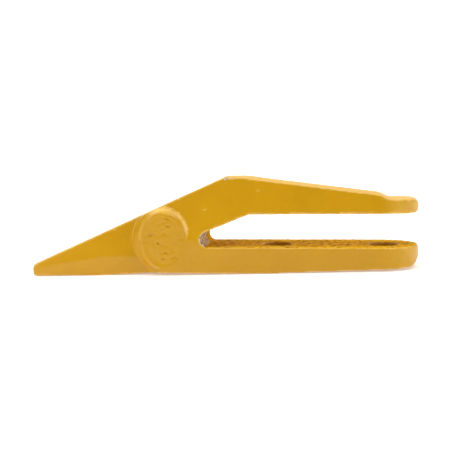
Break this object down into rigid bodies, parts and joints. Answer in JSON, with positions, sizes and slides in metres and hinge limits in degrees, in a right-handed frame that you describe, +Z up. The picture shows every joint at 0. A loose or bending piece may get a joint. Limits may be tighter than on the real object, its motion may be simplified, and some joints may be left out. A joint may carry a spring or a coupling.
{
  "type": "excavator bucket tooth",
  "caption": "Forked digging tooth: chisel point, throat with a round pad on each side, and two straps that grip a bucket lip, the lower one drilled for bolts.",
  "frame": {"origin": "middle of the base of the tooth's box: halfway along and across, at the height of the underside of the point", "axes": "+X from the point to the rear ends of the straps; +Z up, square to the two lip faces and along the bolt axes; +Y across the tooth by the right-hand rule"},
  "size_m": [0.2826, 0.0492, 0.0719],
  "materials": {
    "enamelled_forging": "semi-gloss golden yellow enamel over a rough forged steel surface"
  },
  "bodies": {
    "root": {"tooth_point": "enamelled_forging", "throat_block": "enamelled_forging", "strap_knee": "enamelled_forging", "upper_strap": "enamelled_forging", "lower_strap": "enamelled_forging", "side_pad_left": "enamelled_forging", "side_pad_right": "enamelled_forging"}
  },
  "joints": []
}
